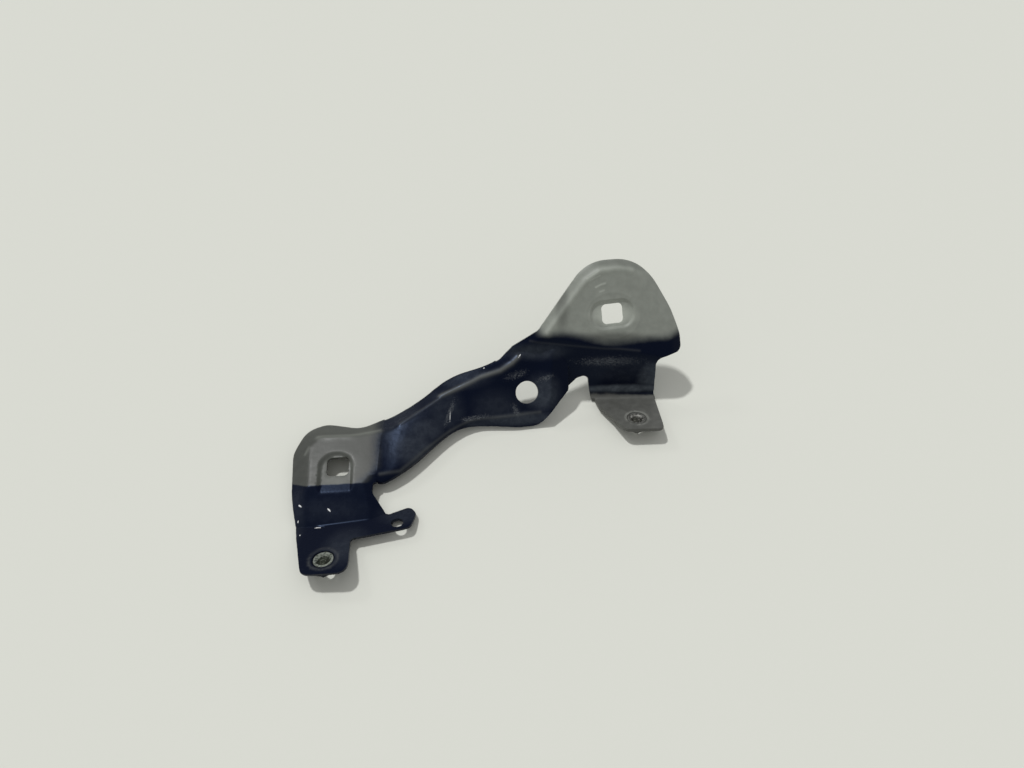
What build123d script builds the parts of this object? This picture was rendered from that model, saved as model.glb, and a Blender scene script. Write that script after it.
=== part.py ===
from build123d import *
import math
import os

os.makedirs("parts", exist_ok=True)

# One steel blank, formed into a pad, an arm, a dome pad and two low tabs.
# Lengths in mm, angles in degrees. The floor is z = 0 and the pads face up.
sheet = 1.8
far_bend = 26.0
near_bend = 38.0
rim_bend = 26.0
crease_radius = 5.0
skirt_flare = 12.0
lip_radius = 5.0
step_bend_radius = 8.0
tab_bend_radius = 3.0
foot_height = 14.0
inside_corner_radius = 3.0
rim_radius = 6.0
brow_radius = 3.5
floor_depth = 45.0
block_size = 400.0

# Square holes take clip nuts, each in a shallow seat.
pad_hole_width = 10.0
pad_hole_height = 9.6
dome_hole_width = 10.4
dome_hole_height = 9.6
hole_corner = 2.3
seat_depth = 0.9
seat_slope = 35.0

# The round web hole and the ear hole are plain.
web_hole_radius = 5.5
ear_hole_radius = 2.6

# Projection weld nuts, M6: the collar sits in the tab's hole.
nut_bore_radius = 2.5
nut_collar_radius = 4.5
nut_flange_radius = 6.8
nut_flange_height = 1.4
nut_body_radius = 5.2
nut_height = 3.8
nut_collar_sink = 0.2
nut_mouth_chamfer = 0.8
nut_clearance = 0.2
nut_seat_gap = 0.1


def tilted(origin, tilt, turn):
    # A plane whose far side rises by tilt, turned about the vertical.
    rise = math.radians(tilt)
    yaw = math.radians(turn)
    along = (math.cos(yaw), math.sin(yaw), 0)
    up = (math.sin(rise) * math.sin(yaw), -math.sin(rise) * math.cos(yaw), math.cos(rise))
    return Plane(origin=origin, x_dir=along, z_dir=up)


def lip_plane(web, start, end, bend):
    # The face that falls away to the right of the crease from start to end.
    along = Vector(end[0] - start[0], end[1] - start[1], 0).normalized()
    out = along.cross(Vector(0, 0, 1))
    lean = math.radians(bend)
    facing = out * math.sin(lean) + Vector(0, 0, 1) * math.cos(lean)
    origin = web.from_local_coords(Vector(start[0], start[1], 0))
    world_along = web.from_local_coords(along) - web.origin
    world_facing = web.from_local_coords(facing) - web.origin
    return Plane(origin=origin, x_dir=world_along, z_dir=world_facing)


pad_plane = tilted((-80.4, -56.4, 8.8), 5.0, 4.2)
step_plane = tilted(pad_plane.from_local_coords((0, -9.5, 0)), 18.4, 4.2)
left_tab_plane = tilted((-70.0, -81.4, 2.1), -17.2, 12.0)
arm_plane = tilted((7.3, -17.1, 14.0), 48.6, 9.2)
dome_plane = tilted((48.8, 9.4, 41.7), 48.6, 9.2)
wall_plane = tilted((55.0, -1.85, 28.0), 74.3, 1.8)
right_tab_plane = tilted((56.8, -9.1, 1.2), -16.1, 1.8)

left_lip_low = lip_plane(step_plane, (-13.0, 0), (-9.0, -18), 5.0)
near_lip_plane = lip_plane(pad_plane, (14.0, -6.4), (20.0, -5.9), near_bend)
step_lip_plane = lip_plane(step_plane, (14.5, -12), (12.5, 0), 14.0)
# Creases round the two pads, as corners x, y and radius in each pad's axes.
pad_crease = [(-10.0, -90.0, 0), (-13.7, 15.9, 7), (9.5, 15.0, 25), (60.0, 23.8, 0), (60.0, -90.0, 0)]
dome_crease = [(-53.0, -30.0, 0), (-9.5, 20.9, 16), (13.5, 20.9, 16), (27.5, -10.0, 16), (28.5, -34.0, 0)]
lobe_end = Plane(origin=(25.6, -7.6, 19.7), z_dir=(0.52, -0.635, 0.57))


def under(plane, drop):
    # All the room below a face, drop lower down.
    with BuildPart() as room:
        with BuildSketch(plane.offset(-drop)):
            Rectangle(block_size + drop, block_size + drop)
        extrude(amount=-block_size - drop)
    return room.part


def rounded_outline(corners):
    # Straight runs between corners given as x, y and the corner's radius.
    starts = []
    ends = []
    for index, (x, y, radius) in enumerate(corners):
        corner = Vector(x, y, 0)
        before = Vector(*corners[index - 1][:2], 0) - corner
        after = Vector(*corners[(index + 1) % len(corners)][:2], 0) - corner
        half = before.get_angle(after) / 2
        cut = radius / math.tan(math.radians(half))
        starts.append(corner + before.normalized() * cut)
        ends.append(corner + after.normalized() * cut)
        if radius > 0:
            middle = (before.normalized() + after.normalized()).normalized()
            reach = radius / math.sin(math.radians(half)) - radius
            ThreePointArc(starts[-1], corner + middle * reach, ends[-1])
    for index in range(len(corners)):
        Line(ends[index - 1], starts[index])


def outline_room(plane, corners, reach=block_size / 2):
    with BuildPart() as room:
        with BuildSketch(plane):
            with BuildLine():
                rounded_outline(corners)
            make_face()
        extrude(amount=reach, both=True)
    return room.part


def room_between(x_low, x_high, y_low, y_high):
    with BuildPart() as room:
        with Locations(((x_low + x_high) / 2, (y_low + y_high) / 2, 0)):
            Box(x_high - x_low, y_high - y_low, block_size)
    return room.part


# The arm's creases, station by station from the pad to the lobe:
# x, near crease y and z, far crease y and z, near lip width and bend, far lip width.
stations = [
    (-62, -61.0, 8.3, -37.9, 10.3, 3.1, near_bend, 8.5),
    (-53, -58.2, 7.9, -33.6, 11.3, 2.5, 42.0, 8.2),
    (-44, -50.2, 7.6, -27.7, 12.6, 2.2, 48.0, 7.4),
    (-35, -39.8, 7.1, -21.0, 14.3, 2.2, 42.0, 7.6),
    (-26, -31.8, 6.7, -15.5, 16.5, 2.5, 34.0, 6.9),
    (-17, -27.7, 6.4, -13.7, 19.0, 4.2, 22.0, 6.4),
    (-8, -26.5, 6.4, -12.4, 22.4, 5.0, 12.0, 6.3),
    (4, -25.6, 6.1, -6.1, 27.1, 5.3, 8.0, 6.3),
    (16, -23.7, 7.4, -2.7, 28.6, 5.3, 6.0, 6.3),
    (28, -20.4, 9.6, -0.3, 29.8, 5.3, 8.0, 6.3),
]
arm_start = stations[0][0]
ear_side = -67.0
arm_end = stations[6][0]
near_reach = 8.0
far_reach = 18.0
trim_reach = 25.0


def route_slope(index, column):
    before = stations[max(index - 1, 0)]
    after = stations[min(index + 1, len(stations) - 1)]
    return (after[column] - before[column]) / (after[0] - before[0])


def station_frame(index, drop):
    # Crease points and lip directions of one cross-section of the arm.
    x, near_y, near_z, far_y, far_z, near_width, near_angle, far_width = stations[index]
    across = Vector(0, far_y - near_y, far_z - near_z).normalized()
    up = Vector(0, -across.Z, across.Y)
    far_turn = math.hypot(1, route_slope(index, 3))
    near_lean = math.radians(near_angle)
    far_lean = math.atan(math.tan(math.radians(far_bend)) / far_turn)
    near = Vector(x, near_y, near_z) + across * drop * math.tan(near_lean / 2) - up * drop
    far = Vector(x, far_y, far_z) - across * drop * math.tan(far_lean / 2) - up * drop
    near_out = -across * math.cos(near_lean) - up * math.sin(near_lean)
    far_out = across * math.cos(far_lean) - up * math.sin(far_lean)
    return near, far, near_out, far_out, up, near_width, far_width * far_turn


def arm_form(drop):
    with BuildPart() as form:
        for index, station in enumerate(stations):
            near, far, near_out, far_out, *_ = station_frame(index, drop)
            near_end = near + near_out * near_reach
            far_end = far + far_out * far_reach
            with BuildSketch(Plane(origin=(station[0], 0, 0), x_dir=(0, 1, 0), z_dir=(1, 0, 0))) as section:
                with BuildLine():
                    Polyline(
                        (near_end.Y, -floor_depth - drop),
                        (near_end.Y, near_end.Z),
                        (near.Y, near.Z),
                        (far.Y, far.Z),
                        (far_end.Y, far_end.Z),
                        (far_end.Y, -floor_depth - drop),
                        close=True,
                    )
                make_face()
                creases = section.vertices().filter_by(
                    lambda v: min((v.center() - Vector(p.Y, p.Z, 0)).length for p in (near, far)) < 0.001
                )
                fillet(creases, crease_radius - drop)
        loft()
    return form.part


def arm_trim():
    # The room between the arm's trimmed edges, cut square to the web.
    with BuildPart() as room:
        for index, station in enumerate(stations):
            near, far, near_out, far_out, up, near_width, far_width = station_frame(index, 0)
            near_end = near + near_out * near_width
            far_end = far + far_out * far_width
            corners = [near_end - up * trim_reach, far_end - up * trim_reach]
            corners += [far_end + up * trim_reach, near_end + up * trim_reach]
            with BuildSketch(Plane(origin=(station[0], 0, 0), x_dir=(0, 1, 0), z_dir=(1, 0, 0))):
                with BuildLine():
                    Polyline(*[(corner.Y, corner.Z) for corner in corners], close=True)
                make_face()
        loft()
    return room.part


def flared_form(plane, corners, bend, radius, drop):
    # A flat top with a skirt that falls away by bend all round its crease.
    lean = math.radians(bend)
    inset = drop * math.tan(lean / 2)
    with BuildPart() as form:
        with BuildSketch(plane.offset(-drop)):
            with BuildLine():
                rounded_outline(corners)
            make_face()
            if drop > 0:
                offset(amount=-inset, kind=Kind.INTERSECTION)
        with BuildSketch(plane.offset(-drop - skirt_flare * math.tan(lean))) as skirt:
            with BuildLine():
                rounded_outline(corners)
            make_face()
            offset(amount=skirt_flare - inset, kind=Kind.INTERSECTION)
        loft(ruled=True)
        extrude(skirt.sketch, amount=-floor_depth - drop)
    form = form.part
    rim = form.edges().filter_by(
        lambda e: abs(plane.to_local_coords(e.center()).Z + drop) < 0.001
        and plane.to_local_coords(e.center()).Y > -24
        and plane.to_local_coords(e.center()).X < 55
    )
    return form.fillet(radius - drop, rim)


def nearest_edge(form, point):
    return form.edges().sort_by_distance(point)[0]


def left_form(drop):
    spine = under(pad_plane, drop) & under(step_plane, drop)
    spine = spine.fillet(step_bend_radius - drop, [nearest_edge(spine, step_plane.origin)])
    spine = spine + under(left_tab_plane, drop)
    spine = spine.fillet(tab_bend_radius + drop, [nearest_edge(spine, left_tab_plane.origin)])
    low = under(left_lip_low, drop)
    inside = under(step_lip_plane, drop) + under(near_lip_plane, drop)
    valley = Vector(arm_start, -68.0, 3.5)
    inside = inside.fillet(inside_corner_radius + drop, [nearest_edge(inside, valley)])
    form = spine & flared_form(pad_plane, pad_crease, far_bend, lip_radius, drop) & low & inside
    form = form & (room_between(-150, arm_start, -150, 50) + room_between(arm_start, -50, -150, ear_side))
    return form + (under(left_tab_plane, drop) & room_between(-110, -39, -130, -70))


def right_form(drop):
    dome = flared_form(dome_plane, dome_crease, rim_bend, rim_radius, drop) & under(wall_plane, drop)
    dome = dome.fillet(brow_radius - drop, [nearest_edge(dome, Vector(35.0, -3.0, 29.0))])
    foot = under(right_tab_plane, drop) + under(wall_plane, drop)
    foot = foot.fillet(tab_bend_radius + drop, [nearest_edge(foot, right_tab_plane.origin)])
    foot = foot & room_between(34, 78, -46, 4) & under(Plane.XY.offset(foot_height), 0)
    return dome + foot


def stamped_form(drop):
    arm = arm_form(drop) & under(lobe_end, drop)
    return left_form(drop) + arm + right_form(drop)


# Seats for the clip nuts, as corners in each pad's axes.
pad_seat = [(-8.8, -16.0, 0), (-8.8, 7.2, 7.5), (7.2, 7.2, 7.5), (7.2, -16.0, 0)]
dome_seat = [(-11.3, -7.5, 6.5), (10.8, -7.5, 6.5), (10.8, 6.9, 6.5), (-11.3, 6.9, 6.5)]


def pressed_seat(plane, corners, drop):
    # The pocket that a clip nut's seat leaves in the form, sheet included.
    lean = math.radians(seat_slope)
    spread = drop * math.tan(lean / 2)
    with BuildPart() as pocket:
        with BuildSketch(plane.offset(-drop)):
            with BuildLine():
                rounded_outline(corners)
            make_face()
            if spread > 0:
                offset(amount=spread)
        with BuildSketch(plane.offset(-drop - seat_depth)):
            with BuildLine():
                rounded_outline(corners)
            make_face()
            offset(amount=spread - seat_depth / math.tan(lean))
        loft(ruled=True)
    return pocket.part


outer = stamped_form(0) - pressed_seat(pad_plane, pad_seat, 0) - pressed_seat(dome_plane, dome_seat, 0)
inner = stamped_form(sheet)
inner = inner - pressed_seat(pad_plane, pad_seat, sheet) - pressed_seat(dome_plane, dome_seat, sheet)
shell = outer - inner

# Trimmed outlines, as corners in each face's own axes.
left_outline = [
    (24.0, 29.0, 0),
    (9.5, 21.1, 12),
    (-7.0, 26.0, 9),
    (-16.4, 22.6, 10),
    (-22.0, 9.5, 9),
    (-20.8, -12.0, 20),
    (-17.0, -32.0, 30),
    (-11.5, -54.2, 4),
    (8.4, -54.8, 5),
    (7.5, -36.6, 2),
    (33.5, -32.6, 3.5),
    (36.0, -24.5, 3.5),
    (32.8, -20.4, 3),
    (22.6, -24.2, 2),
    (16.0, -13.8, 3),
    (16.4, -9.7, 1.5),
    (24.0, -6.4, 0),
]
right_outline = [
    (-24.0, -13.9, 0),
    (-6.0, -16.9, 12),
    (4.2, -17.2, 9),
    (26.4, 3.2, 4),
    (31.6, 4.3, 2.5),
    (33.4, -9.5, 0),
    (25.0, -60.0, 0),
    (75.0, -60.0, 0),
    (65.1, -10.0, 0),
    (65.4, 8.6, 4),
    (78.7, 11.6, 4),
    (78.6, 20.0, 8),
    (74.9, 33.0, 30),
    (67.2, 48.8, 28),
    (57.6, 59.3, 20),
    (35.0, 59.9, 20),
    (8.5, 29.6, 8),
    (-4.5, 23.2, 5),
    (-11.3, 17.4, 6),
    (-24.0, 11.7, 0),
]
right_tab_outline = [
    (-16.2, 2.0, 0),
    (-13.4, -8.5, 10),
    (-8.5, -16.5, 10),
    (-3.2, -27.6, 4),
    (15.6, -27.4, 3),
    (15.2, 2.0, 0),
]

left_rooms = room_between(-150, arm_start, -150, 50) + room_between(arm_start, -30, -150, ear_side)
left_piece = shell & outline_room(pad_plane, left_outline) & left_rooms
arm_piece = shell & arm_trim() & room_between(arm_start, arm_end, ear_side, 50)
right_piece = shell & outline_room(arm_plane, right_outline) & room_between(arm_end, 150, -70, 50)
with BuildPart() as tab_waste:
    with BuildSketch(right_tab_plane):
        with Locations((2, -25.5)):
            Rectangle(46, 48)
        with BuildLine():
            rounded_outline(right_tab_outline)
        make_face(mode=Mode.SUBTRACT)
    extrude(amount=12, both=True)
right_piece = right_piece - tab_waste.part
blank = left_piece + arm_piece + right_piece
blank = blank.solids().sort_by(SortBy.VOLUME)[-1]


def square_hole(plane, width, height):
    with BuildPart() as hole:
        with BuildSketch(plane):
            RectangleRounded(width, height, hole_corner)
        extrude(amount=6, both=True)
    return hole.part


def round_hole(plane, radius):
    with BuildPart() as hole:
        with BuildSketch(plane):
            Circle(radius)
        extrude(amount=6, both=True)
    return hole.part


ear_hole_plane = Plane(origin=left_tab_plane.from_local_coords((18.3, -6.2, 0)), z_dir=left_tab_plane.z_dir)
left_nut_plane = Plane(origin=left_tab_plane.from_local_coords((-14.1, -20.2, 0)), z_dir=left_tab_plane.z_dir)
right_nut_plane = Plane(origin=right_tab_plane.from_local_coords((3.5, -18.6, 0)), z_dir=right_tab_plane.z_dir)
blank = blank - square_hole(pad_plane, pad_hole_width, pad_hole_height)
blank = blank - square_hole(dome_plane, dome_hole_width, dome_hole_height)
blank = blank - round_hole(arm_plane, web_hole_radius)
blank = blank - round_hole(ear_hole_plane, ear_hole_radius)
blank = blank - round_hole(left_nut_plane, nut_collar_radius + nut_clearance)
blank = blank - round_hole(right_nut_plane, nut_collar_radius + nut_clearance)


def weld_nut(plane):
    # Collar up in the hole, flange welded to the underside, hexagon below.
    under_sheet = -sheet - nut_seat_gap
    with BuildPart() as nut:
        with BuildSketch(plane.offset(under_sheet - nut_height)):
            RegularPolygon(nut_body_radius, 6)
        extrude(amount=nut_height)
        with BuildSketch(plane.offset(under_sheet - nut_flange_height)):
            Circle(nut_flange_radius)
        extrude(amount=nut_flange_height)
        with BuildSketch(plane.offset(under_sheet)):
            Circle(nut_collar_radius)
        extrude(amount=sheet - nut_collar_sink)
        with BuildSketch(plane):
            Circle(nut_bore_radius)
        extrude(amount=-sheet - nut_seat_gap - nut_height, mode=Mode.SUBTRACT)
        mouth = nut.edges().filter_by(GeomType.CIRCLE).sort_by(lambda e: plane.to_local_coords(e.center()).Z)
        bore_mouth = [e for e in mouth[-3:] if e.radius < nut_bore_radius + 0.01][-1]
        chamfer(bore_mouth, nut_mouth_chamfer)
    return nut.part


left_nut = weld_nut(left_nut_plane)
right_nut = weld_nut(right_nut_plane)
low = [min(tuple(piece.bounding_box().min)[axis] for piece in (blank, left_nut, right_nut)) for axis in range(3)]
high = [max(tuple(piece.bounding_box().max)[axis] for piece in (blank, left_nut, right_nut)) for axis in range(3)]
home = Pos(-(low[0] + high[0]) / 2, -(low[1] + high[1]) / 2, -low[2])

with BuildPart() as bracket_stamping:
    add(home * blank)
bracket_stamping.part.label = "bracket_stamping"
export_step(bracket_stamping.part, "parts/bracket_stamping.step")

with BuildPart() as weld_nut_left:
    add(home * left_nut)
weld_nut_left.part.label = "weld_nut_left"
export_step(weld_nut_left.part, "parts/weld_nut_left.step")

with BuildPart() as weld_nut_right:
    add(home * right_nut)
weld_nut_right.part.label = "weld_nut_right"
export_step(weld_nut_right.part, "parts/weld_nut_right.step")
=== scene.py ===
import math

import bmesh
import bpy
import numpy as np
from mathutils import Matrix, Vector


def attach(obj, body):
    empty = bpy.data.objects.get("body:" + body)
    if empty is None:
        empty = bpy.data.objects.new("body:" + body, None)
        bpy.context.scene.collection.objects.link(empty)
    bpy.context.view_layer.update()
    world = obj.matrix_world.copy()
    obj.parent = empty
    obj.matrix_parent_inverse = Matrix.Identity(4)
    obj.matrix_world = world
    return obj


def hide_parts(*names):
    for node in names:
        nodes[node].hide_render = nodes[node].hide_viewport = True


mm = 0.001

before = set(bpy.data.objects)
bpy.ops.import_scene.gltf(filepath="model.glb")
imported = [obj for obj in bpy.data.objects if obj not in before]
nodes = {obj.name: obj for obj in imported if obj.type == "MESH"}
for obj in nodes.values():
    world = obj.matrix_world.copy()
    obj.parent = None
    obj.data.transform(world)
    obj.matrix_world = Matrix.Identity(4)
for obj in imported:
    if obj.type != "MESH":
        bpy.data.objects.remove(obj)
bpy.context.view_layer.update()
print("stage: frame loaded")

for factoryName in ("Cube", "Light", "Camera"):
    factoryObject = bpy.data.objects.get(factoryName)
    if factoryObject:
        bpy.data.objects.remove(factoryObject, do_unlink=True)


def inMetres(point):
    return [value * mm for value in point]


def newMaterial(name):
    material = bpy.data.materials.new(name)
    material.use_nodes = True
    tree = material.node_tree
    tree.nodes.clear()
    output = tree.nodes.new("ShaderNodeOutputMaterial")
    shader = tree.nodes.new("ShaderNodeBsdfPrincipled")
    tree.links.new(shader.outputs[0], output.inputs[0])
    return material, tree, shader


def put(tree, socket, value):
    # Links a socket or sets a plain value on an input.
    if isinstance(value, bpy.types.NodeSocket):
        tree.links.new(value, socket)
    else:
        socket.default_value = value


def calc(tree, operation, a, b=0.0, c=0.0):
    node = tree.nodes.new("ShaderNodeMath")
    node.operation = operation
    for socket, value in zip(node.inputs, (a, b, c)):
        put(tree, socket, value)
    return node.outputs[0]


def plus(tree, a, b):
    return calc(tree, "ADD", a, b)


def minus(tree, a, b):
    return calc(tree, "SUBTRACT", a, b)


def times(tree, a, b):
    return calc(tree, "MULTIPLY", a, b)


def vectorCalc(tree, operation, a, b=None):
    node = tree.nodes.new("ShaderNodeVectorMath")
    node.operation = operation
    put(tree, node.inputs[0], a)
    if b is not None:
        put(tree, node.inputs[1], b)
    return node.outputs


def ramp(tree, value, low, high, start=0.0, end=1.0):
    # A smooth step from start to end while value goes from low to high.
    node = tree.nodes.new("ShaderNodeMapRange")
    node.interpolation_type = "SMOOTHSTEP"
    for socket, item in zip(node.inputs, (value, low, high, start, end)):
        put(tree, socket, item)
    return node.outputs[0]


def noise(tree, position, scale, detail=2.0, rough=0.5):
    node = tree.nodes.new("ShaderNodeTexNoise")
    put(tree, node.inputs["Vector"], position)
    node.inputs["Scale"].default_value = scale
    node.inputs["Detail"].default_value = detail
    node.inputs["Roughness"].default_value = rough
    return node.outputs["Fac"]


def centredNoise(tree, position, *settings):
    return minus(tree, noise(tree, position, *settings), 0.5)


def blendColours(tree, mask, first, second):
    # The mask may pass 1 or fall below 0, and the blend follows it.
    node = tree.nodes.new("ShaderNodeMix")
    node.data_type = "RGBA"
    node.clamp_factor = False
    put(tree, node.inputs["Factor"], mask)
    put(tree, node.inputs["A"], first)
    put(tree, node.inputs["B"], second)
    return node.outputs["Result"]


def scaleColour(tree, colour, amount):
    node = tree.nodes.new("ShaderNodeVectorMath")
    node.operation = "SCALE"
    put(tree, node.inputs[0], colour[:3])
    put(tree, node.inputs["Scale"], amount)
    return node.outputs[0]


def readField(tree, name):
    node = tree.nodes.new("ShaderNodeAttribute")
    node.attribute_name = name
    return node.outputs["Fac"]


def objectPosition(tree):
    return tree.nodes.new("ShaderNodeTexCoord").outputs["Object"]


def putBump(tree, shader, height, settings):
    bump = tree.nodes.new("ShaderNodeBump")
    bump.inputs["Distance"].default_value = settings["depth"]
    bump.inputs["Strength"].default_value = settings["strength"]
    put(tree, bump.inputs["Height"], height)
    put(tree, shader.inputs["Normal"], bump.outputs[0])


def newGroup(name, inputs, outputs):
    group = bpy.data.node_groups.new(name, "ShaderNodeTree")
    for label, kind, default in inputs:
        socket = group.interface.new_socket(label, in_out="INPUT", socket_type=kind)
        if default is not None:
            socket.default_value = default
    for label, kind in outputs:
        group.interface.new_socket(label, in_out="OUTPUT", socket_type=kind)
    given = group.nodes.new("NodeGroupInput").outputs
    result = group.nodes.new("NodeGroupOutput").inputs
    return group, given, result


def useGroup(tree, group, **values):
    node = tree.nodes.new("ShaderNodeGroup")
    node.node_tree = group
    for label, value in values.items():
        put(tree, node.inputs[label], value)
    return node.outputs


# The stamped sheet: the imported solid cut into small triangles, smallest beside the pressed
# ridges, with eased edges.
sheetSkin = {
    "plainEdge": 1.5 * mm,
    "detailEdge": 0.62 * mm,
    "detailReach": 1.5 * mm,
    "weld": 0.002 * mm,
    "passes": 9,
    "smoothing": 2,
    "easing": 0.35,
    "sharpAngle": 50,
}

# The dome's face: the middle of its square hole and the face's direction.
domeFace = {"middle": (58.5, 49.9, 42.3), "normal": (0.12, -0.74, 0.66), "steps": 32}


def domeRing(halfWidth, halfHeight, drop):
    # An oval on the dome's face, drop mm below the square hole's middle.
    normal = Vector(domeFace["normal"]).normalized()
    right = (Vector((1, 0, 0)) - normal * normal.x).normalized()
    upward = normal.cross(right)
    middle = Vector(domeFace["middle"]) - upward * drop
    ring = []
    for step in range(domeFace["steps"] + 1):
        turn = 2 * math.pi * step / domeFace["steps"]
        sideways = right * halfWidth * math.cos(turn)
        ring.append(tuple(middle + sideways + upward * halfHeight * math.sin(turn)))
    return ring


# Pressed ridges and ripples in mm, as paths on the upper face. Each paints a highlight along
# itself, and a value below zero paints shade instead, as around the dome's seat.
ridges = {
    "domeRidge": {
        "path": [
            (26.5, 41.2, 37.8),
            (38.9, 53.6, 49.7),
            (44.6, 58.8, 54.6),
            (51.8, 63.0, 57.8),
            (60.1, 64.8, 58.1),
            (67.5, 64.9, 56.8),
        ],
        "width": 1.5,
        "height": 0.5,
        "paintedLight": 1.0,
    },
    "domeArc": {
        "path": [(45.5, 59.9, 55.6), (48.4, 61.4, 56.8), (51.3, 63.0, 57.8)],
        "width": 0.5,
        "height": 0.2,
        "paintedLight": 2.0,
    },
    "domeArcInner": {
        "path": [(47.0, 59.4, 55.0), (49.9, 60.7, 55.9), (51.8, 61.5, 56.4)],
        "width": 0.4,
        "height": 0.15,
        "paintedLight": 1.6,
    },
    "domeArcLow": {
        "path": [(49.9, 57.5, 52.3), (52.2, 58.5, 53.0), (54.3, 59.1, 53.4)],
        "width": 0.45,
        "height": 0.15,
        "paintedLight": 2.0,
    },
    "domeArcLowest": {
        "path": [(51.9, 56.2, 50.5), (53.9, 56.9, 50.9)],
        "width": 0.4,
        "height": 0.1,
        "paintedLight": 1.6,
    },
    "seatEdge": {
        "path": domeRing(halfWidth=11.2, halfHeight=7.6, drop=0.0),
        "width": 0.55,
        "height": 0.0,
        "paintedLight": -1.9,
    },
    "seatRim": {
        "path": domeRing(halfWidth=13.4, halfHeight=11.2, drop=1.0),
        "width": 0.7,
        "height": 0.1,
        "paintedLight": -1.1,
    },
    "armRidge": {
        "path": [
            (-25.3, 20.9, 14.9),
            (-15.6, 24.8, 16.9),
            (-5.9, 28.2, 20.5),
            (3.9, 29.3, 24.0),
            (9.7, 32.1, 26.4),
            (12.6, 34.7, 27.8),
        ],
        "width": 1.1,
        "height": 0.3,
        "paintedLight": 1.35,
    },
    "padRidge": {
        "path": [(-81.9, -0.7, 10.1), (-66.9, 0.1, 10.4), (-53.1, 3.0, 10.4)],
        "width": 1.3,
        "height": 0.2,
        "paintedLight": 1.0,
    },
    "padCorner": {
        "path": [(-86.8, -9.6, 9.1), (-85.2, -6.1, 9.4)],
        "width": 0.8,
        "height": 0.1,
        "paintedLight": 0.9,
    },
    "browLine": {
        "path": [
            (18.4, 39.5, 34.1),
            (25.6, 38.8, 33.4),
            (40.2, 38.7, 31.4),
            (54.9, 38.7, 29.6),
            (62.3, 38.9, 29.1),
            (72.0, 39.0, 27.6),
        ],
        "width": 0.6,
        "height": 0.1,
        "paintedLight": 0.25,
    },
    "armRidgeStart": {
        "path": [(-43.7, 6.3, 11.7), (-39.2, 9.6, 12.4), (-34.6, 13.1, 13.0), (-25.3, 19.7, 14.8)],
        "width": 0.8,
        "height": 0.15,
        "paintedLight": 0.4,
    },
    "nearCrease": {
        "path": [
            (-50.8, -20.0, 8.5),
            (-42.0, -17.6, 7.3),
            (-31.3, -6.0, 7.6),
            (-20.2, 5.7, 6.8),
            (-10.7, 11.9, 7.1),
            (3.8, 14.2, 6.9),
            (23.4, 16.8, 7.5),
        ],
        "width": 0.8,
        "height": 0.12,
        "paintedLight": 0.5,
    },
}

# Raised rings that the weld nuts leave in the tabs, in mm, on the nuts' own axes. Each ring is
# also painted lighter as a highlight.
nutRings = {
    "left": {
        "middle": (-69.9, -63.7, 5.4),
        "axis": (-0.061, 0.289, 0.955),
        "radius": 6.1,
        "width": 0.45,
        "height": 0.12,
        "paintedLight": 0.5,
    },
    "right": {
        "middle": (70.6, 12.7, 3.7),
        "axis": (-0.009, 0.277, 0.961),
        "radius": 5.3,
        "width": 0.5,
        "height": 0.12,
        "paintedLight": 0.9,
    },
}

# How far details reach: pressed only into faces that look up and towards the tabs, rings only
# within ringDepth mm of their nut's face, and soft spots out to spotReach times their size.
pressing = {
    "upward": (0.0, -0.35, 0.94),
    "upwardGain": 2,
    "upwardStart": 0.4,
    "ringDepth": 6,
    "spotReach": 1.35,
}

# How light the primer is painted, mostly painted light and shade: the dome's face, turned away
# from the main lamp, much lighter than the pad, its seat lighter still, and the rims darker. A
# base, then soft spots with centre and reach in mm, and tone.
primerPaintedLight = {
    "padBase": 0.21,
    "domeBase": 0.97,
    "spots": [
        ((-70.7, -17.6, 8.5), (8.5, 9.5, 6.0), 0.37),
        ((-89.4, -15.1, 7.0), (4.2, 22.0, 8.0), 0.2),
        ((-69.4, 5.4, 8.5), (22.0, 4.0, 6.0), 0.27),
        ((-52.9, -7.1, 9.5), (5.0, 16.0, 8.0), 0.13),
        ((58.5, 49.9, 42.0), (11.5, 5.6, 6.5), 1.62),
        ((58.6, 41.9, 33.0), (34.0, 3.2, 3.4), 0.46),
        ((33.6, 50.9, 47.0), (3.4, 14.0, 14.0), 0.6),
        ((60.6, 67.4, 58.0), (16.0, 2.6, 6.0), 0.72),
    ],
}

# How dusty the dark coat is, with painted light laid over it where the arm and the wall face away
# from the main lamp, and where a bend catches a highlight. Centre and reach in mm, and amount,
# where above 1 hides the coat.
coatDustAndLight = [
    ((-41.4, 3.9, 10.5), (17.0, 16.0, 9.0), 0.5),
    ((-31.0, 4.0, 10.5), (10.0, 7.0, 5.0), 0.9),
    ((-37.0, -5.0, 8.6), (12.0, 10.0, 4.5), 1.0),
    ((-23.4, 14.9, 11.0), (10.0, 12.0, 8.0), 0.6),
    ((-14.0, 29.0, 18.5), (16.0, 5.0, 6.0), 0.7),
    ((2.0, 17.0, 10.5), (12.0, 9.0, 9.0), 0.5),
    ((24.6, 23.0, 14.5), (9.0, 9.0, 9.0), 1.3),
    ((13.6, 14.0, 5.5), (24.0, 4.0, 3.6), 1.2),
    ((-5.4, 12.2, 5.0), (13.0, 3.0, 3.0), 0.8),
    ((21.0, 37.2, 29.0), (16.0, 3.6, 4.5), 1.1),
    ((66.6, 35.6, 17.0), (22.0, 4.0, 9.0), 0.4),
    ((78.6, 34.6, 13.0), (6.5, 4.0, 11.0), 2.0),
    ((66.6, 32.7, 6.6), (24.0, 2.6, 2.4), 4.0),
    ((-87.4, -41.1, 4.0), (5.0, 20.0, 6.0), 0.5),
    ((-61.4, -57.1, 6.0), (10.0, 12.0, 6.0), 0.7),
    ((-38.3, -38.4, 3.3), (12.0, 6.0, 4.0), 0.5),
    ((-71.4, -37.1, 5.0), (16.0, 6.0, 4.0), 0.25),
]


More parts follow.
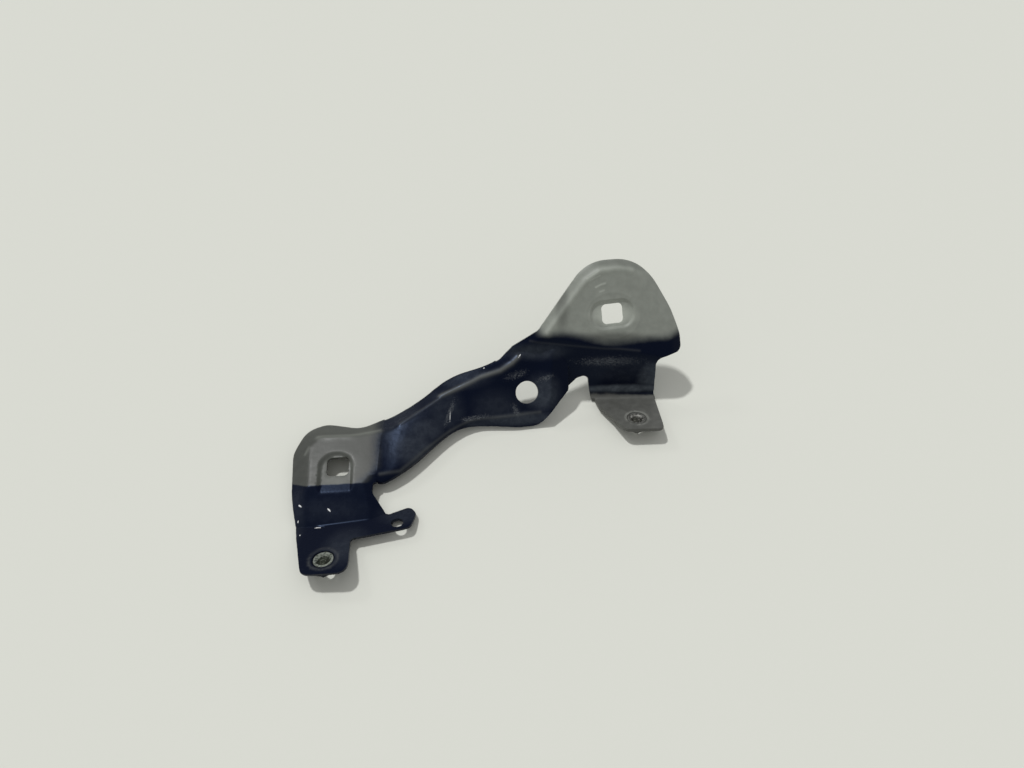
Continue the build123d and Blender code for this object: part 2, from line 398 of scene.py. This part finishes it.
def softSpot(points, centre, reach):
    # Points are in metres, centre and reach in mm.
    distance = np.linalg.norm((points - np.array(centre) * mm) / (np.array(reach) * mm), axis=1)
    near = np.clip(pressing["spotReach"] - distance, 0, 1)
    return near * near * (3 - 2 * near)


def bellCurve(distance, width):
    return np.exp(-((distance / width) ** 2))


def pathDistance(points, path):
    # Points are in metres and the path in mm. The answer is in metres.
    closest = np.full(len(points), np.inf)
    for start, end in zip(path[:-1], path[1:]):
        start, end = np.array(start) * mm, np.array(end) * mm
        run = end - start
        share = np.clip((points - start) @ run / (run @ run), 0, 1)
        apart = np.linalg.norm(points - start - share[:, None] * run, axis=1)
        closest = np.minimum(closest, apart)
    return closest


def nearDetail(form):
    form.verts.index_update()
    points = np.array([vertex.co for vertex in form.verts])
    near = np.zeros(len(points), bool)
    for ridge in ridges.values():
        near |= pathDistance(points, ridge["path"]) < sheetSkin["detailReach"]
    return near


def cutFine(form):
    # Halves each edge that is too long for its place, until none is left or the passes end.
    for step in range(sheetSkin["passes"]):
        near = nearDetail(form)
        longEdges = []
        for edge in form.edges:
            detailed = near[edge.verts[0].index] or near[edge.verts[1].index]
            if edge.calc_length() > sheetSkin["detailEdge" if detailed else "plainEdge"]:
                longEdges.append(edge)
        if not longEdges:
            break
        bmesh.ops.subdivide_edges(form, edges=longEdges, cuts=1)
        manySided = [face for face in form.faces if len(face.verts) > 3]
        # The shorter diagonal, because the default one folds slivers flat onto each other.
        bmesh.ops.triangulate(form, faces=manySided, quad_method="SHORT_EDGE")


def fineSkin(node, name):
    mesh = nodes[node].data.copy()
    skin = bpy.data.objects.new(name, mesh)
    bpy.context.scene.collection.objects.link(skin)
    packedNormals = mesh.attributes.get("custom_normal")
    if packedNormals:
        mesh.attributes.remove(packedNormals)
    form = bmesh.new()
    form.from_mesh(mesh)
    bmesh.ops.remove_doubles(form, verts=form.verts, dist=sheetSkin["weld"])
    cutFine(form)
    form.to_mesh(mesh)
    form.free()
    smoothing = skin.modifiers.new("smoothing", "SMOOTH")
    smoothing.iterations = sheetSkin["smoothing"]
    smoothing.factor = sheetSkin["easing"]
    shown = skin.evaluated_get(bpy.context.evaluated_depsgraph_get())
    dense = bpy.data.meshes.new_from_object(shown)
    skin.modifiers.clear()
    skin.data = dense
    skin.data.name = name
    skin.data.shade_smooth()
    skin.data.set_sharp_from_angle(angle=math.radians(sheetSkin["sharpAngle"]))
    return skin


def readVertices(mesh, field):
    values = np.empty(len(mesh.vertices) * 3, np.float32)
    mesh.vertices.foreach_get(field, values)
    return values.reshape(-1, 3)


def addField(mesh, name, values):
    layer = mesh.attributes.new(name, "FLOAT", "POINT")
    layer.data.foreach_set("value", values.astype(np.float32))


def pressDetails(mesh):
    # Lifts the ridges and rings out of the sheet, and keeps what the paint reads as fields: the
    # painted highlights and shade along ridges and rings, the primer's painted light and shade,
    # and the coat's dust with painted light.
    points = readVertices(mesh, "co").astype(float)
    facing = readVertices(mesh, "normal")
    upper = facing @ np.array(pressing["upward"]) * pressing["upwardGain"]
    upper = np.clip(upper - pressing["upwardStart"], 0, 1)
    lift = np.zeros(len(points))
    paintedLight = np.zeros(len(points))
    # Each ridge and ring also paints a highlight, and a value below zero paints shade.
    for ridge in ridges.values():
        near = bellCurve(pathDistance(points, ridge["path"]), ridge["width"] * mm) * upper
        lift = np.maximum(lift, near * ridge["height"] * mm)
        mark = near * ridge["paintedLight"]
        paintedLight = np.where(np.abs(mark) > np.abs(paintedLight), mark, paintedLight)
    for ring in nutRings.values():
        offset = points / mm - np.array(ring["middle"])
        along = offset @ np.array(ring["axis"])
        radius = np.sqrt(np.maximum((offset * offset).sum(1) - along * along, 0))
        near = bellCurve(radius - ring["radius"], ring["width"]) * upper
        near = near * (np.abs(along) < pressing["ringDepth"])
        lift = np.maximum(lift, near * ring["height"] * mm)
        paintedLight = np.maximum(paintedLight, near * ring["paintedLight"])
    # Painted light and shade on the primer: the dome's face and seat lighter, the rims darker.
    primerLight = np.where(points[:, 0] < 0, primerPaintedLight["padBase"], primerPaintedLight["domeBase"])
    for centre, reach, value in primerPaintedLight["spots"]:
        primerLight = primerLight + (value - primerLight) * softSpot(points, centre, reach)
    # Dust on the dark coat, with painted light where the arm and wall face away from the lamp.
    dustAndLight = np.zeros(len(points))
    for centre, reach, value in coatDustAndLight:
        dustAndLight = np.maximum(dustAndLight, softSpot(points, centre, reach) * value)
    points = points + facing * lift[:, None]
    mesh.vertices.foreach_set("co", points.astype(np.float32).ravel())
    addField(mesh, "paintedLight", paintedLight)
    addField(mesh, "primerLight", primerLight)
    addField(mesh, "dustAndLight", dustAndLight)
    mesh.update()


stampedSheet = fineSkin("bracket_stamping", "stampedSheet")
pressDetails(stampedSheet.data)
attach(stampedSheet, "root")
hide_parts("bracket_stamping")
print("stage: sheet", len(stampedSheet.data.polygons), "faces")


# Grey-green primer drifts over the dark coat wherever a pad was sprayed last. Each edge is
# the range over which the spray fades, and each wander is how far the noise moves that edge.
primer = {
    "cloudNoise": (160, 3),
    "fineNoise": (1500, 2),
    "cloudGain": 4.0,
    "padCorner": (-70.71 * mm, -15.88 * mm),
    "padTurn": math.radians(4.2),
    "padFront": -9.7 * mm,
    "padHeight": 8.2 * mm,
    "padDrop": 1.2,
    "padSide": 17.0 * mm,
    "padSoftEdge": (-4.5 * mm, 3.0 * mm),
    "padFrontEdge": (-0.5 * mm, 0.5 * mm),
    "padFrontWander": 0.25,
    "neckPoint": (-60.2 * mm, -24.8 * mm),
    "neckNormal": (-0.8, 0.6),
    "neckBlend": 3 * mm,
    "domeX": (30.6 * mm, 62.6 * mm),
    "domeZ": (38.0 * mm, 32.2 * mm),
    "domeEdge": (-2.6 * mm, 1.6 * mm),
    "domeStart": (19.6 * mm, 24.6 * mm),
    "domeWander": 0.35,
    "tabX": 44.6 * mm,
    "tabY": 31.3 * mm,
    "tabEdge": (-0.5 * mm, 0.6 * mm),
    "tabStart": 0.5 * mm,
    "tabWander": 0.3,
}


def buildPrimerGroup():
    group, given, result = newGroup(
        "PrimerOverspray",
        [("Position", "NodeSocketVector", None), ("Drift", "NodeSocketFloat", 1.0 * mm)],
        [("Pads", "NodeSocketFloat"), ("Tab", "NodeSocketFloat")],
    )
    parts = group.nodes.new("ShaderNodeSeparateXYZ")
    group.links.new(given["Position"], parts.inputs[0])
    x, y, z = parts.outputs
    cloudSize = times(group, given["Drift"], primer["cloudGain"])
    cloud = centredNoise(group, given["Position"], *primer["cloudNoise"])
    fine = centredNoise(group, given["Position"], *primer["fineNoise"])
    wander = times(group, cloud, cloudSize)
    wander = plus(group, wander, times(group, fine, given["Drift"]))

    # The pad: a crisp front edge, and soft edges at its right side and its neck.
    cornerX, cornerY = primer["padCorner"]
    cosine, sine = math.cos(primer["padTurn"]), math.sin(primer["padTurn"])
    fromX = minus(group, x, cornerX)
    fromY = minus(group, y, cornerY)
    along = plus(group, times(group, fromX, cosine), times(group, fromY, sine))
    across = minus(group, times(group, fromY, cosine), times(group, fromX, sine))
    sunk = calc(group, "MAXIMUM", minus(group, primer["padHeight"], z), 0.0)
    frontLine = plus(group, times(group, sunk, primer["padDrop"]), primer["padFront"])
    front = minus(group, across, frontLine)
    side = minus(group, primer["padSide"], along)
    neckX, neckY = primer["neckPoint"]
    leanX, leanY = primer["neckNormal"]
    neckSide = times(group, minus(group, x, neckX), leanX)
    neckFront = times(group, minus(group, y, neckY), leanY)
    neck = plus(group, neckSide, neckFront)
    edge = calc(group, "SMOOTH_MIN", side, neck, primer["neckBlend"])
    softPad = ramp(group, plus(group, edge, wander), *primer["padSoftEdge"])
    front = plus(group, front, times(group, wander, primer["padFrontWander"]))
    padMask = times(group, softPad, ramp(group, front, *primer["padFrontEdge"]))

    # The dome: everything above the brow.
    browZ = ramp(group, x, *primer["domeX"], *primer["domeZ"])
    above = minus(group, z, browZ)
    above = plus(group, above, times(group, wander, primer["domeWander"]))
    domeMask = ramp(group, above, *primer["domeEdge"])
    domeMask = times(group, domeMask, ramp(group, x, *primer["domeStart"]))
    group.links.new(calc(group, "MAXIMUM", padMask, domeMask), result["Pads"])

    # The right tab, painted a darker grey than the pads.
    tabEdge = minus(group, primer["tabY"], y)
    tabEdge = plus(group, tabEdge, times(group, wander, primer["tabWander"]))
    tabSide = ramp(group, x, primer["tabX"], primer["tabX"] + primer["tabStart"])
    tabMask = times(group, ramp(group, tabEdge, *primer["tabEdge"]), tabSide)
    group.links.new(tabMask, result["Tab"])
    return group


primerGroup = buildPrimerGroup()

# Chips down to bright metal and pale scuffs: middle, direction, half length and half width, in mm.
chips = {
    "leftEdge": ((-85.5, -35.0, 5.3), (0.8, -0.6, 0.0), 0.9, 0.35),
    "stepChip": ((-72.3, -36.7, 4.8), (0.7, -0.7, 0.0), 1.3, 0.35),
    "creaseChip": ((-76.7, -44.5, 2.8), (1.0, 0.1, 0.0), 1.4, 0.25),
    "creaseTick": ((-75.4, -43.7, 3.0), (0.0, 1.0, 0.2), 1.8, 0.22),
    "lowEdge": ((-85.7, -41.7, 2.9), (0.1, 1.0, 0.1), 0.7, 0.25),
    "lowEdgeTwo": ((-83.4, -48.6, 3.6), (0.1, 1.0, 0.2), 1.6, 0.2),
    "armDot": ((-4.0, 32.2, 22.5), (1.0, 0.0, 0.0), 0.3, 0.3),
    "armScratch": ((-20.2, 11.3, 10.3), (0.0, 0.9, 0.43), 2.6, 0.16),
    "ridgeEnd": ((13.2, 35.1, 27.9), (0.5, 0.8, 0.3), 1.2, 0.3),
}
scuffs = {
    "holeRight": ((26.2, 28.1, 19.8), (0.93, 0.1, 0.36), 3.6, 1.1),
    "holeLeft": ((11.4, 16.7, 9.2), (0.4, -0.55, -0.7), 2.8, 1.3),
    "holeTop": ((10.6, 28.9, 21.0), (1.0, 0.2, 0.2), 5.0, 1.6),
    "wallSpeckle": ((57.0, 36.8, 22.5), (1.0, 0.0, 0.0), 12.0, 2.2),
    "armScuff": ((-20.4, 13.5, 11.3), (0.3, 0.9, 0.3), 6.0, 1.0),
    "armLow": ((-9.4, 12.9, 7.6), (1.0, 0.2, 0.0), 7.0, 1.0),
}
markEdge = {"noise": (2600, 3, 0.6), "gain": 3.0, "fade": (1.15, 0.75)}


def buildMarkGroup():
    group, given, result = newGroup(
        "PaintMark",
        [
            ("Position", "NodeSocketVector", None),
            ("Middle", "NodeSocketVector", None),
            ("Direction", "NodeSocketVector", None),
            ("HalfLength", "NodeSocketFloat", 1 * mm),
            ("HalfWidth", "NodeSocketFloat", 0.3 * mm),
            ("Ragged", "NodeSocketFloat", 0.5),
        ],
        [("Mask", "NodeSocketFloat")],
    )
    offset = vectorCalc(group, "SUBTRACT", given["Position"], given["Middle"])[0]
    direction = vectorCalc(group, "NORMALIZE", given["Direction"])[0]
    along = vectorCalc(group, "DOT_PRODUCT", offset, direction)["Value"]
    total = vectorCalc(group, "DOT_PRODUCT", offset, offset)["Value"]
    apart = minus(group, total, times(group, along, along))
    across = calc(group, "SQRT", calc(group, "MAXIMUM", apart, 0.0))
    far = calc(group, "DIVIDE", calc(group, "ABSOLUTE", along), given["HalfLength"])
    wide = calc(group, "DIVIDE", across, given["HalfWidth"])
    reach = plus(group, times(group, far, far), times(group, wide, wide))
    grain = centredNoise(group, given["Position"], *markEdge["noise"])
    ragged = times(group, times(group, grain, markEdge["gain"]), given["Ragged"])
    reach = plus(group, calc(group, "SQRT", reach), ragged)
    group.links.new(ramp(group, reach, *markEdge["fade"]), result["Mask"])
    return group


markGroup = buildMarkGroup()


def markMask(tree, position, marks, ragged):
    total = 0.0
    for middle, direction, halfLength, halfWidth in marks.values():
        mark = useGroup(
            tree,
            markGroup,
            Position=position,
            Middle=inMetres(middle),
            Direction=direction,
            HalfLength=halfLength * mm,
            HalfWidth=halfWidth * mm,
            Ragged=ragged,
        )["Mask"]
        total = calc(tree, "MAXIMUM", mark, total)
    return total


# The sheet's paint. A noise is scale, detail and roughness. A range of four goes from low and
# high in the noise to start and end in the result.
paint = {
    "navy": (0.0025, 0.004, 0.0115, 1),
    # A dusty coat colour, blended in for real dust and for painted light.
    "navyDustAndLight": (0.026, 0.031, 0.041, 1),
    "primer": (0.25, 0.266, 0.236, 1),
    "tabPrimer": (0.085, 0.087, 0.08, 1),
    # A pale grey painted along the ridges as a highlight.
    "ridgeHighlight": (0.13, 0.135, 0.128, 1),
    "paleDust": (0.3, 0.32, 0.33, 1),
    "bareMetal": (0.75, 0.76, 0.76, 1),
    "coatTint": (0.45, 0.62, 1.0, 1),
    "primerTint": (1.0, 1.0, 1.0, 1),
    "sheen": (0.1, 0.3),
    "roughness": (0.26, 0.4),
    "mottleNoise": (260, 4, 0.6),
    "speckleNoise": (2400, 2, 0.5),
    "grain": (0.58, 0.72),
    "dustMottle": (0.25, 0.75, 0.55, 1.15),
    "dustGrain": 0.12,
    # How far the painted ridge highlights lighten the dark coat.
    "ridgeHighlightGain": 0.55,
    "primerMottle": (0.25, 0.75, 0.93, 1.07),
    # How much the painted highlights and shade lighten and darken the primer.
    "primerPaintedLightGain": 0.26,
    "primerGrain": 0.05,
    "tabMottle": (0.2, 0.8, 0.85, 1.2),
    # How much the painted ring highlight lightens the tab.
    "tabPaintedLightGain": 1.3,
    "scuffRagged": 1.6,
    "scuffSpeckle": (0.42, 0.62, 0.0, 0.3),
    "scuffRoughness": 0.3,
    "chipRagged": 0.5,
    "roughnessMottle": (0.2, 0.8, -0.05, 0.06),
    "peelNoise": (700, 2),
    "peel": {"depth": 0.03 * mm, "strength": 0.6},
    "chipDepth": -1.5,
}


def paintMaterial(name):
    material, tree, shader = newMaterial(name)
    position = objectPosition(tree)
    masks = useGroup(tree, primerGroup, Position=position)
    mottle = noise(tree, position, *paint["mottleNoise"])
    speckle = noise(tree, position, *paint["speckleNoise"])
    grain = ramp(tree, speckle, *paint["grain"])
    # Dust with painted light, painted highlights and shade, and the primer's painted light and
    # shade, all kept on the sheet.
    dustAndLight = readField(tree, "dustAndLight")
    paintedLight = readField(tree, "paintedLight")
    primerLight = readField(tree, "primerLight")

    # The dark coat, with dust and painted light, and painted highlights along the ridges.
    cloud = times(tree, dustAndLight, ramp(tree, mottle, *paint["dustMottle"]))
    cloud = plus(tree, cloud, times(tree, grain, paint["dustGrain"]))
    coat = blendColours(tree, cloud, paint["navy"], paint["navyDustAndLight"])
    ridgeHighlightMask = times(tree, calc(tree, "MAXIMUM", paintedLight, 0.0), paint["ridgeHighlightGain"])
    coat = blendColours(tree, ridgeHighlightMask, coat, paint["ridgeHighlight"])

    # The primer on the pads with its painted light, shade and highlights, then the tab's darker
    # grey with its painted ring highlight.
    shade = times(tree, primerLight, ramp(tree, mottle, *paint["primerMottle"]))
    shade = plus(tree, shade, times(tree, paintedLight, paint["primerPaintedLightGain"]))
    shade = minus(tree, shade, times(tree, grain, paint["primerGrain"]))
    colour = blendColours(tree, masks["Pads"], coat, scaleColour(tree, paint["primer"], shade))
    tabShade = ramp(tree, mottle, *paint["tabMottle"])
    tabShade = plus(tree, tabShade, times(tree, paintedLight, paint["tabPaintedLightGain"]))
    tabColour = scaleColour(tree, paint["tabPrimer"], tabShade)
    colour = blendColours(tree, masks["Tab"], colour, tabColour)

    scuffed = markMask(tree, position, scuffs, paint["scuffRagged"])
    scuffed = times(tree, scuffed, ramp(tree, speckle, *paint["scuffSpeckle"]))
    colour = blendColours(tree, scuffed, colour, paint["paleDust"])
    chipped = markMask(tree, position, chips, paint["chipRagged"])
    colour = blendColours(tree, chipped, colour, paint["bareMetal"])
    put(tree, shader.inputs["Base Color"], colour)

    dull = calc(tree, "MAXIMUM", masks["Pads"], masks["Tab"])
    roughness = ramp(tree, dull, 0.0, 1.0, *paint["roughness"])
    roughness = plus(tree, roughness, ramp(tree, mottle, *paint["roughnessMottle"]))
    roughness = plus(tree, roughness, times(tree, scuffed, paint["scuffRoughness"]))
    put(tree, shader.inputs["Roughness"], roughness)
    sheen = ramp(tree, dull, 0.0, 1.0, *paint["sheen"])
    put(tree, shader.inputs["Specular IOR Level"], sheen)
    tint = blendColours(tree, dull, paint["coatTint"], paint["primerTint"])
    put(tree, shader.inputs["Specular Tint"], tint)
    peel = noise(tree, position, *paint["peelNoise"])
    peel = plus(tree, peel, times(tree, chipped, paint["chipDepth"]))
    putBump(tree, shader, peel, paint["peel"])
    return material


# Weld nuts: plated inside, with the coat reaching over the collar from coatFrom outwards.
nutFinish = {
    "leftNut": {
        "coatFrom": 4.15 * mm,
        "coat": (0.0035, 0.0055, 0.014, 1),
        "metal": (0.36, 0.39, 0.34, 1),
        "tarnish": (0.07, 0.08, 0.065, 1),
    },
    "rightNut": {
        "coatFrom": 3.9 * mm,
        "coat": (0.1, 0.102, 0.094, 1),
        "metal": (0.42, 0.42, 0.39, 1),
        "tarnish": (0.12, 0.12, 0.11, 1),
    },
    "spotNoise": (900, 3),
    "coatWander": 1.2 * mm,
    "coatFade": 0.3 * mm,
    "boreRadius": 2.62 * mm,
    "boreFade": 0.1 * mm,
    "pitch": 1.0 * mm,
    "grooveEdge": (-0.6, 0.6),
    # The thread's grooves are drawn darker by this much.
    "grooveDarkening": 0.75,
    "tarnishSpots": (0.36, 0.62),
    "metallic": (0.85, 0.0),
    "roughness": (0.3, 0.7, 0.42, 0.28),
    "sheen": (0.5, 0.16),
    "thread": {"depth": 0.25 * mm, "strength": 0.8},
}


def buildAxisGroup():
    group, given, result = newGroup(
        "AxisDistance",
        [
            ("Position", "NodeSocketVector", None),
            ("Middle", "NodeSocketVector", None),
            ("Axis", "NodeSocketVector", None),
        ],
        [("Radius", "NodeSocketFloat"), ("Along", "NodeSocketFloat")],
    )
    offset = vectorCalc(group, "SUBTRACT", given["Position"], given["Middle"])[0]
    along = vectorCalc(group, "DOT_PRODUCT", offset, given["Axis"])["Value"]
    total = vectorCalc(group, "DOT_PRODUCT", offset, offset)["Value"]
    apart = minus(group, total, times(group, along, along))
    radius = calc(group, "SQRT", calc(group, "MAXIMUM", apart, 0.0))
    group.links.new(radius, result["Radius"])
    group.links.new(along, result["Along"])
    return group


axisGroup = buildAxisGroup()


def nutMaterial(name, ring):
    finish = nutFinish[name]
    material, tree, shader = newMaterial(name)
    position = objectPosition(tree)
    middle = inMetres(ring["middle"])
    place = useGroup(tree, axisGroup, Position=position, Middle=middle, Axis=ring["axis"])
    spots = noise(tree, position, *nutFinish["spotNoise"])
    wander = times(tree, minus(tree, spots, 0.5), nutFinish["coatWander"])
    coatEnd = finish["coatFrom"] + nutFinish["coatFade"]
    coated = ramp(tree, plus(tree, place["Radius"], wander), finish["coatFrom"], coatEnd)
    boreStart = nutFinish["boreRadius"] - nutFinish["boreFade"]
    inBore = ramp(tree, place["Radius"], nutFinish["boreRadius"], boreStart)
    turn = times(tree, place["Along"], 2 * math.pi / nutFinish["pitch"])
    wave = ramp(tree, calc(tree, "SINE", turn), *nutFinish["grooveEdge"])
    groove = times(tree, inBore, wave)
    tarnished = ramp(tree, spots, *nutFinish["tarnishSpots"])
    metal = blendColours(tree, tarnished, finish["tarnish"], finish["metal"])
    darkened = times(tree, groove, nutFinish["grooveDarkening"])
    metal = blendColours(tree, darkened, metal, finish["tarnish"])
    colour = blendColours(tree, coated, metal, finish["coat"])
    put(tree, shader.inputs["Base Color"], colour)
    metallic = ramp(tree, coated, 0.0, 1.0, *nutFinish["metallic"])
    put(tree, shader.inputs["Metallic"], metallic)
    put(tree, shader.inputs["Roughness"], ramp(tree, spots, *nutFinish["roughness"]))
    sheen = ramp(tree, coated, 0.0, 1.0, *nutFinish["sheen"])
    put(tree, shader.inputs["Specular IOR Level"], sheen)
    putBump(tree, shader, times(tree, groove, -1.0), nutFinish["thread"])
    return material


def paintOnly(mesh, material):
    mesh.materials.clear()
    mesh.materials.append(material)


paintOnly(stampedSheet.data, paintMaterial("paintedSheet"))
paintOnly(nodes["weld_nut_left"].data, nutMaterial("leftNut", nutRings["left"]))
paintOnly(nodes["weld_nut_right"].data, nutMaterial("rightNut", nutRings["right"]))
print("stage: paint and nuts")

# Plain pale floor, larger than the picture.
floorPaint = {"size": 3.0, "colour": (0.69, 0.7, 0.64, 1), "roughness": 0.85, "sheen": 0.2}
floorMaterial, floorTree, floorShader = newMaterial("floorPaint")
floorShader.inputs["Base Color"].default_value = floorPaint["colour"]
floorShader.inputs["Roughness"].default_value = floorPaint["roughness"]
floorShader.inputs["Specular IOR Level"].default_value = floorPaint["sheen"]
floorMesh = bpy.data.meshes.new("floor")
half = floorPaint["size"] / 2
floorCorners = [(-half, -half, 0), (half, -half, 0), (half, half, 0), (-half, half, 0)]
floorMesh.from_pydata(floorCorners, [], [(0, 1, 2, 3)])
floorMesh.materials.append(floorMaterial)
floor = bpy.data.objects.new("floor", floorMesh)
bpy.context.scene.collection.objects.link(floor)

# One soft lamp from behind on the left, a faint second one, and even light all round.
lamps = {
    "mainLamp": {"toward": (-0.321, 0.260, 0.911), "strength": 1.75, "spread": 4.0},
    "weakLamp": {"toward": (-0.62, 0.45, 0.64), "strength": 0.16, "spread": 8.0},
}
for lampName, lamp in lamps.items():
    lampData = bpy.data.lights.new(lampName, "SUN")
    lampData.energy = lamp["strength"]
    lampData.angle = math.radians(lamp["spread"])
    lampObject = bpy.data.objects.new(lampName, lampData)
    lampObject.rotation_euler = Vector(lamp["toward"]).to_track_quat("Z", "Y").to_euler()
    bpy.context.scene.collection.objects.link(lampObject)

roomLight = {"colour": (1, 1, 1, 1), "strength": 0.46}
world = bpy.data.worlds.new("studio")
world.use_nodes = True
background = world.node_tree.nodes["Background"]
background.inputs["Color"].default_value = roomLight["colour"]
background.inputs["Strength"].default_value = roomLight["strength"]
bpy.context.scene.world = world

viewpoint = {"place": (9.68, -214.58, 304.56), "tilt": 40, "lens": 27, "sensorWidth": 36}
cameraData = bpy.data.cameras.new("camera")
cameraData.lens = viewpoint["lens"]
cameraData.sensor_width = viewpoint["sensorWidth"]
camera = bpy.data.objects.new("camera", cameraData)
camera.location = inMetres(viewpoint["place"])
camera.rotation_euler = (math.radians(viewpoint["tilt"]), 0, 0)
bpy.context.scene.collection.objects.link(camera)
bpy.context.scene.camera = camera
bpy.context.scene.view_settings.view_transform = "Standard"
print("stage: floor, lamps and camera")
